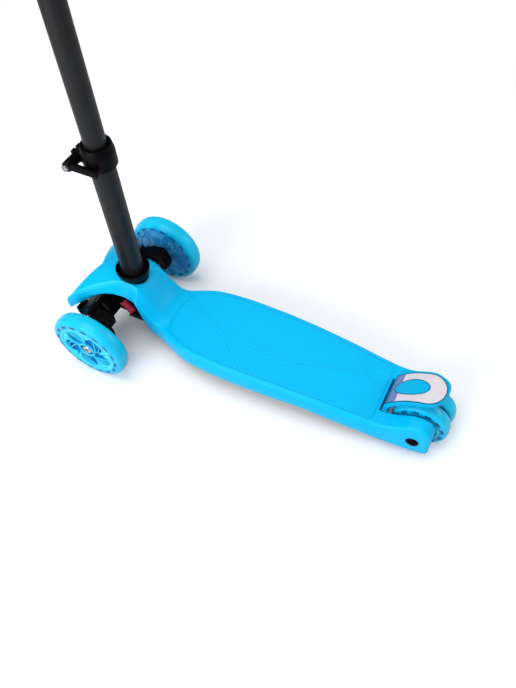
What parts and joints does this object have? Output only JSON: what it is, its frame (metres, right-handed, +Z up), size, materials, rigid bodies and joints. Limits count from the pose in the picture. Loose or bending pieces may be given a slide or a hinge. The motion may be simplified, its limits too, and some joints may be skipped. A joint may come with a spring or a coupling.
{
  "type": "three wheel kids scooter",
  "caption": "Child's lean-to-steer kick scooter: waisted blue deck, large front wheels on knuckles, close rear wheel pair under a foot brake, height-adjustable T-bar.",
  "frame": {"origin": "middle of the bounding box at ground level, under the deck", "axes": "+Z up, -Y towards the front wheels, +X to the rider's left"},
  "size_m": [0.242, 0.5958, 0.6662],
  "materials": {
    "deck_blue": "satin gloss sky blue moulding",
    "tyre_blue": "glossy clear-tinted blue polyurethane",
    "core_blue": "glossy darker blue",
    "grip_blue": "matte blue rubber",
    "black_plastic": "satin black moulding",
    "black_paint": "satin black powder coat",
    "steel": "bright zinc or chrome",
    "brushed": "brushed steel",
    "bush_red": "red polyurethane"
  },
  "bodies": {
    "frame": {"deck_shell": "deck_blue", "base_plate": "black_plastic", "base_screw_1": "steel", "base_screw_2": "steel", "base_screw_3": "steel", "base_screw_4": "steel", "base_screw_5": "steel", "base_screw_6": "steel", "front_carrier": "black_plastic", "carrier_bolt_left": "steel", "carrier_bolt_right": "steel", "kingpin_left": "steel", "kingpin_right": "steel", "kingpin_nut_left": "steel", "kingpin_nut_right": "steel", "centring_bush_left": "bush_red", "centring_bush_right": "bush_red", "rear_axle": "steel", "axle_cap_left": "black_plastic", "axle_cap_right": "black_plastic", "brake_pin": "steel", "brake_spring": "steel", "column_socket": "black_plastic", "lower_tube": "black_paint", "guide_sleeve": "black_plastic", "clamp_collar": "black_plastic", "clamp_bolt": "steel", "clamp_nut": "steel"},
    "steering_knuckle_left": {"knuckle_left": "black_plastic", "axle_bolt_left": "steel", "tie_pin_left": "steel"},
    "front_wheel_left": {"front_tyre_left": "tyre_blue", "front_core_left": "core_blue", "front_bearing_inner_left": "steel", "front_bearing_outer_left": "steel"},
    "rear_wheel_left": {"rear_tyre_left": "tyre_blue", "rear_core_left": "core_blue", "rear_bearing_left": "steel"},
    "steering_knuckle_right": {"knuckle_right": "black_plastic", "axle_bolt_right": "steel", "tie_pin_right": "steel"},
    "front_wheel_right": {"front_tyre_right": "tyre_blue", "front_core_right": "core_blue", "front_bearing_inner_right": "steel", "front_bearing_outer_right": "steel"},
    "rear_wheel_right": {"rear_tyre_right": "tyre_blue", "rear_core_right": "core_blue", "rear_bearing_right": "steel"},
    "steering_rod": {"tie_rod": "black_paint"},
    "brake": {"brake_cover": "deck_blue", "brake_plate": "brushed"},
    "handlebar_stem": {"upper_tube": "black_paint", "handlebar_tee": "black_plastic", "handlebar": "black_paint", "grip_left": "grip_blue", "grip_right": "grip_blue"},
    "height_lever": {"clamp_lever": "black_plastic"}
  },
  "joints": [
    {"name": "steer_left", "type": "hinge", "parent": "frame", "child": "steering_knuckle_left", "pos_m": [0.058, -0.23608, 0.067], "axis": [0, -0.6225, 0.7826], "range_deg": [-14, 14], "stiffness_Nm_per_rad": 12},
    {"name": "steer_right", "type": "hinge", "parent": "frame", "child": "steering_knuckle_right", "pos_m": [-0.058, -0.23608, 0.067], "axis": [0, -0.6225, 0.7826], "range_deg": [-14, 14], "stiffness_Nm_per_rad": 12},
    {"name": "tie_rod_swing", "type": "hinge", "parent": "steering_knuckle_left", "child": "steering_rod", "pos_m": [0.058, -0.25643, 0.05081], "axis": [0, -0.6225, 0.7826], "range_deg": [-14, 14]},
    {"name": "front_wheel_spin_left", "type": "hinge", "parent": "steering_knuckle_left", "child": "front_wheel_left", "pos_m": [0.108, -0.22208, 0.06], "axis": [1, 0, 0], "continuous": true},
    {"name": "front_wheel_spin_right", "type": "hinge", "parent": "steering_knuckle_right", "child": "front_wheel_right", "pos_m": [-0.108, -0.22208, 0.06], "axis": [1, 0, 0], "continuous": true},
    {"name": "rear_wheel_spin_left", "type": "hinge", "parent": "frame", "child": "rear_wheel_left", "pos_m": [0.0127, 0.25792, 0.04], "axis": [1, 0, 0], "continuous": true},
    {"name": "rear_wheel_spin_right", "type": "hinge", "parent": "frame", "child": "rear_wheel_right", "pos_m": [-0.0127, 0.25792, 0.04], "axis": [1, 0, 0], "continuous": true},
    {"name": "brake_press", "type": "hinge", "parent": "frame", "child": "brake", "pos_m": [0, 0.20982, 0.05], "axis": [1, 0, 0], "range_deg": [-12, 0], "stiffness_Nm_per_rad": 4, "springref_deg": 5.73},
    {"name": "height_slide", "type": "slide", "parent": "frame", "child": "handlebar_stem", "axis": [0, 0.014, 0.9999], "range_m": [0, 0.13]},
    {"name": "lever_swing", "type": "hinge", "parent": "frame", "child": "height_lever", "pos_m": [0, -0.2275, 0.32837], "axis": [1, 0, 0], "range_deg": [0, 100]}
  ],
  "couplings": [
    {"joint": "steer_right", "follows": "steer_left", "ratio": 1},
    {"joint": "tie_rod_swing", "follows": "steer_left", "ratio": -1}
  ]
}
